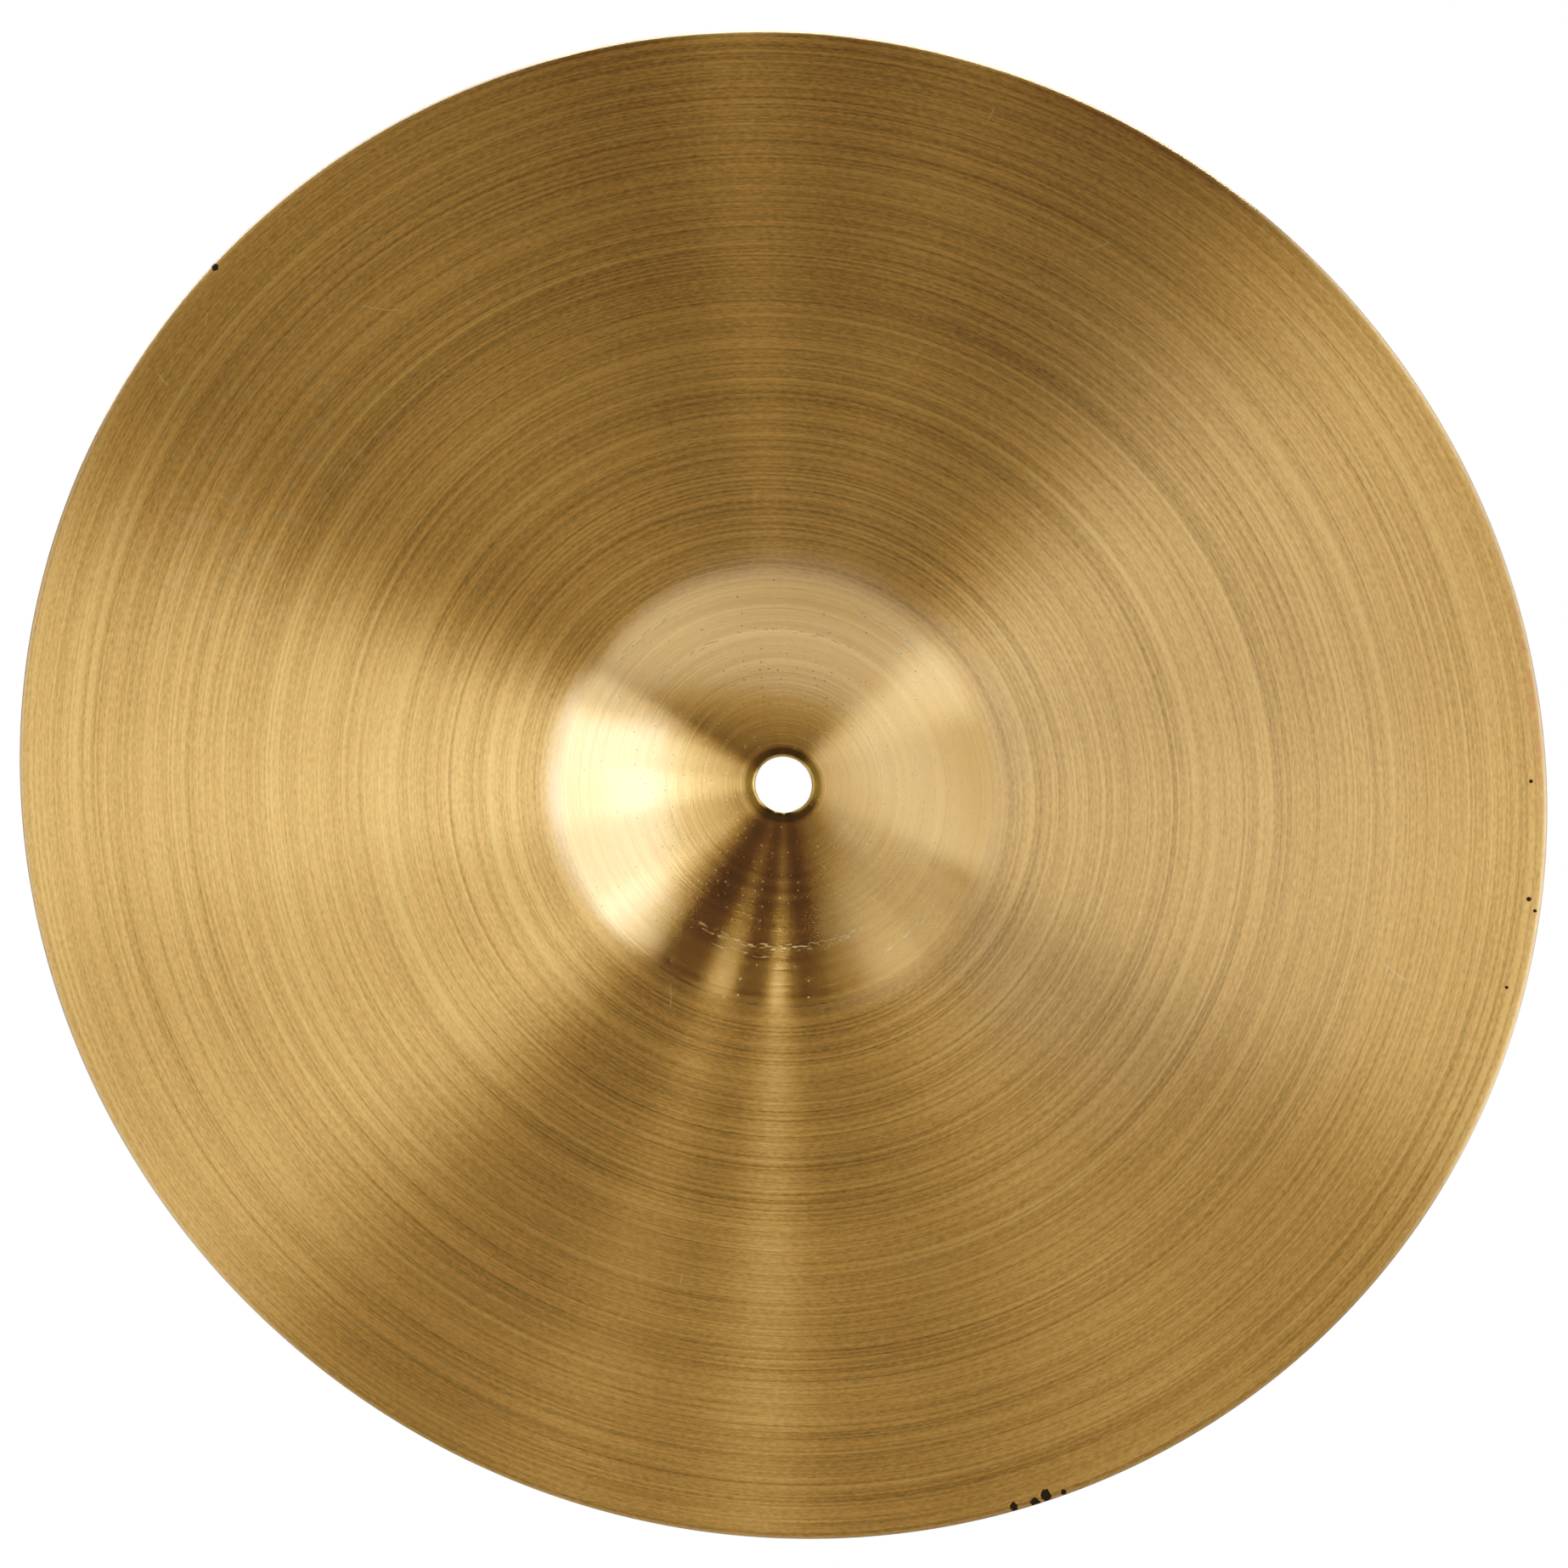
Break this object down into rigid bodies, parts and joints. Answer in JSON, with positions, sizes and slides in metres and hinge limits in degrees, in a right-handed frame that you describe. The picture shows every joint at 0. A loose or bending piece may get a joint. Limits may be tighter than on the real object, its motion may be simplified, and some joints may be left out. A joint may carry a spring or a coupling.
{
  "type": "crash cymbal",
  "caption": "Thin round crash cymbal of brushed brass: a shallow bow with a raised bell, pierced on its axis for a stand's rod.",
  "frame": {"origin": "on the cymbal's axis, in the plane that its rim stands on", "axes": "+Z along the axis, from the rim up towards the crown of the bell"},
  "size_m": [0.3556, 0.3556, 0.0459],
  "materials": {
    "brushed_brass": "fine brushing in concentric rings, under a thin clear lacquer"
  },
  "bodies": {
    "root": {"cymbal": "brushed_brass"}
  },
  "joints": []
}
